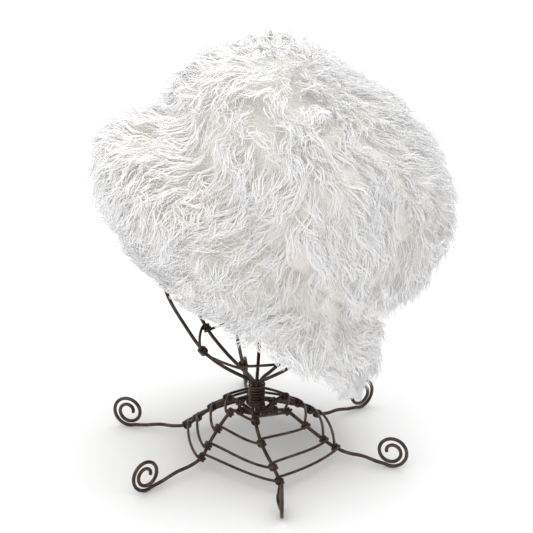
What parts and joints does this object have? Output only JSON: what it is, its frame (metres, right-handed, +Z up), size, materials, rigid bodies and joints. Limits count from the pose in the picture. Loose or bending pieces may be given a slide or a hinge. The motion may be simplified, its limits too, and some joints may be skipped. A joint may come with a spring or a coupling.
{
  "type": "telpek hat and wire stand",
  "caption": "Shaggy white sheepskin telpek hat sitting askew on a bent-wire stand with a head basket and scroll feet.",
  "frame": {"origin": "on the floor, under the middle of the whole object's box", "axes": "+Z up, the object's front towards -Y, +X to the right of someone who faces it"},
  "size_m": [0.3142, 0.2778, 0.3701],
  "materials": {
    "white_fleece": "long wavy white sheep's wool",
    "sheep_hide": "matt suede, undyed",
    "bronze_wire": "satin bronze brown"
  },
  "bodies": {
    "root": {"basket_ring_1": "bronze_wire", "basket_ring_2": "bronze_wire", "basket_ring_3": "bronze_wire", "crown_fleece": "white_fleece", "crown_hide": "sheep_hide", "neck_coil": "bronze_wire", "side_fleece": "white_fleece", "side_hide": "sheep_hide", "web_ring_1": "bronze_wire", "web_ring_2": "bronze_wire", "web_ring_3": "bronze_wire", "web_ring_4": "bronze_wire", "web_ring_5": "bronze_wire", "wire_1": "bronze_wire", "wire_2": "bronze_wire", "wire_3": "bronze_wire", "wire_4": "bronze_wire", "wire_5": "bronze_wire", "wire_6": "bronze_wire"}
  },
  "joints": []
}
